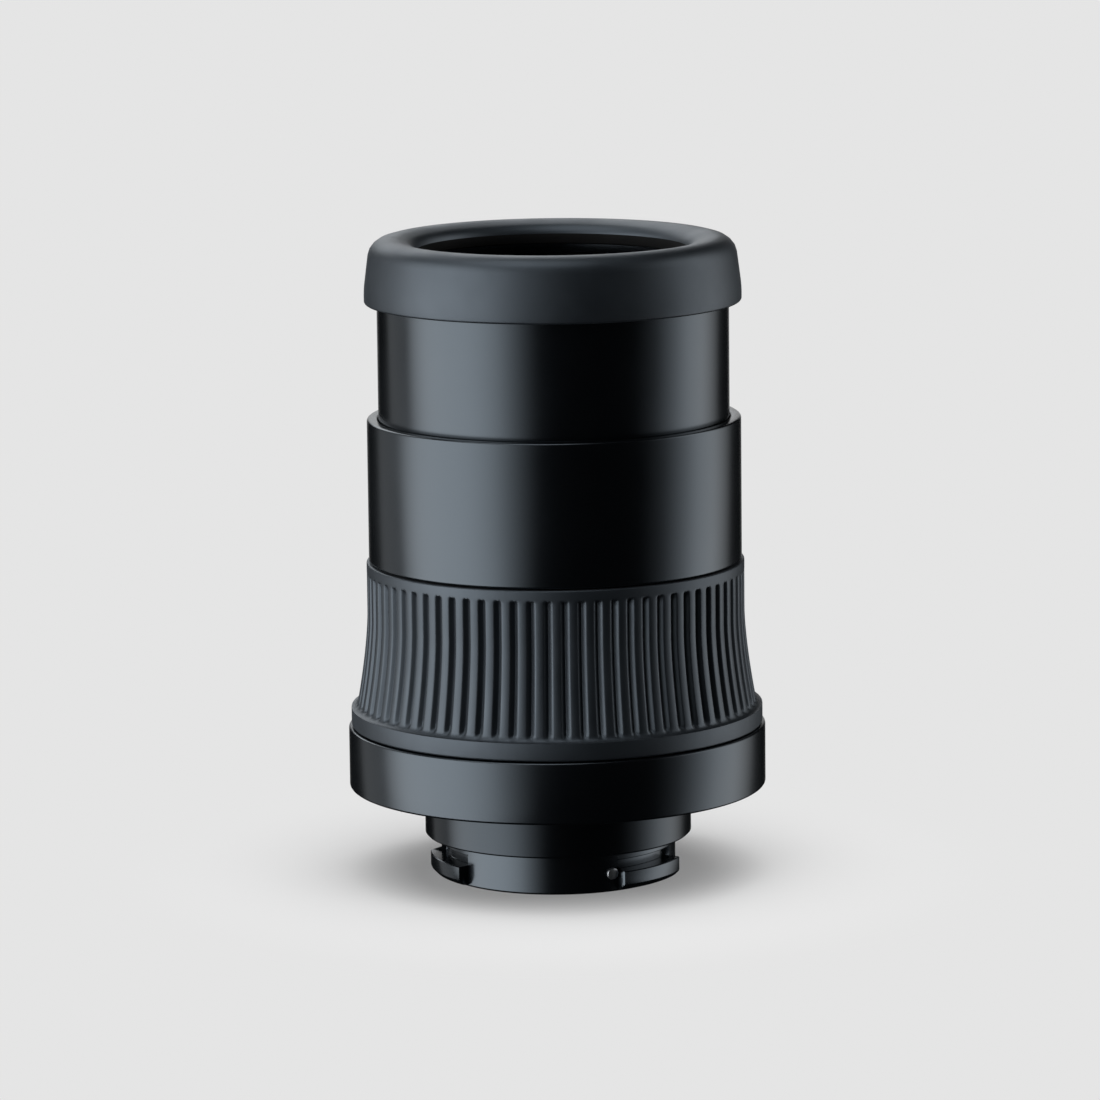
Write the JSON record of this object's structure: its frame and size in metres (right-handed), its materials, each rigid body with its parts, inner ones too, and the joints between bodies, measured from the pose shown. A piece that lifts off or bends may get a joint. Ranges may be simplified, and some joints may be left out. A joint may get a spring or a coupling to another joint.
{
  "type": "spotting scope eyepiece",
  "caption": "Zoom eyepiece with a twist-up rubber eyecup, smooth barrel, flared ribbed zoom ring, wide base ring and a bayonet mount with lugs.",
  "frame": {"origin": "centre of the bayonet bottom face, which is the lowest face", "axes": "+Z along the optical axis towards the eye; -Y is the side the picture shows; +X is to its right"},
  "size_m": [0.06, 0.06, 0.0921],
  "materials": {
    "anodised": "satin black anodised",
    "rubber": "matt slate grey",
    "seal": "smooth black",
    "steel": "ground",
    "brass": "turned",
    "glass": "coated"
  },
  "bodies": {
    "housing": {"base_ring": "anodised", "bayonet_mount": "anodised", "stop_pin": "steel", "mount_seal": "seal", "field_lens": "glass", "field_lens_ring": "anodised", "field_stop": "anodised", "guide_tube": "anodised", "guide_screws": "steel", "barrel": "anodised", "zoom_seals": "seal", "eye_tube": "anodised", "cup_guide_pins": "steel", "eye_cell": "anodised", "eye_doublet_crown": "glass", "eye_doublet_flint": "glass", "eye_spacer": "anodised", "eye_lens": "glass", "eye_lens_ring": "anodised"},
    "zoom_ring": {"zoom_core": "anodised", "zoom_grip": "rubber", "drive_pins": "steel", "cam_tube": "brass"},
    "front_group": {"front_cell": "anodised", "front_crown_lens": "glass", "front_flint_lens": "glass", "front_lens_ring": "anodised", "front_followers": "steel"},
    "rear_group": {"rear_cell": "anodised", "rear_lens": "glass", "rear_lens_ring": "anodised", "rear_followers": "steel"},
    "click_carrier": {"click_ring": "brass", "click_balls": "steel"},
    "eyecup": {"helix_sleeve": "brass", "eyecup_tube": "anodised", "eyecup_rubber": "rubber"}
  },
  "joints": [
    {"name": "zoom_turn", "type": "hinge", "parent": "housing", "child": "zoom_ring", "pos_m": [0, 0, 0.0337], "axis": [0, 0, 1], "range_deg": [0, 90]},
    {"name": "front_slide", "type": "slide", "parent": "housing", "child": "front_group", "axis": [0, 0, 1], "range_m": [0, 0.0075]},
    {"name": "rear_slide", "type": "slide", "parent": "housing", "child": "rear_group", "axis": [0, 0, 1], "range_m": [-0.005, 0]},
    {"name": "eyecup_rise", "type": "slide", "parent": "housing", "child": "click_carrier", "axis": [0, 0, 1], "range_m": [-0.0156, 0]},
    {"name": "eyecup_turn", "type": "hinge", "parent": "click_carrier", "child": "eyecup", "pos_m": [0, 0, 0.0757], "axis": [0, 0, 1], "range_deg": [-120, 0]}
  ],
  "couplings": [
    {"joint": "front_slide", "follows": "zoom_turn", "m_per_rad": 0.0047746},
    {"joint": "rear_slide", "follows": "zoom_turn", "m_per_rad": -0.003183},
    {"joint": "eyecup_rise", "follows": "eyecup_turn", "m_per_rad": 0.007448}
  ]
}
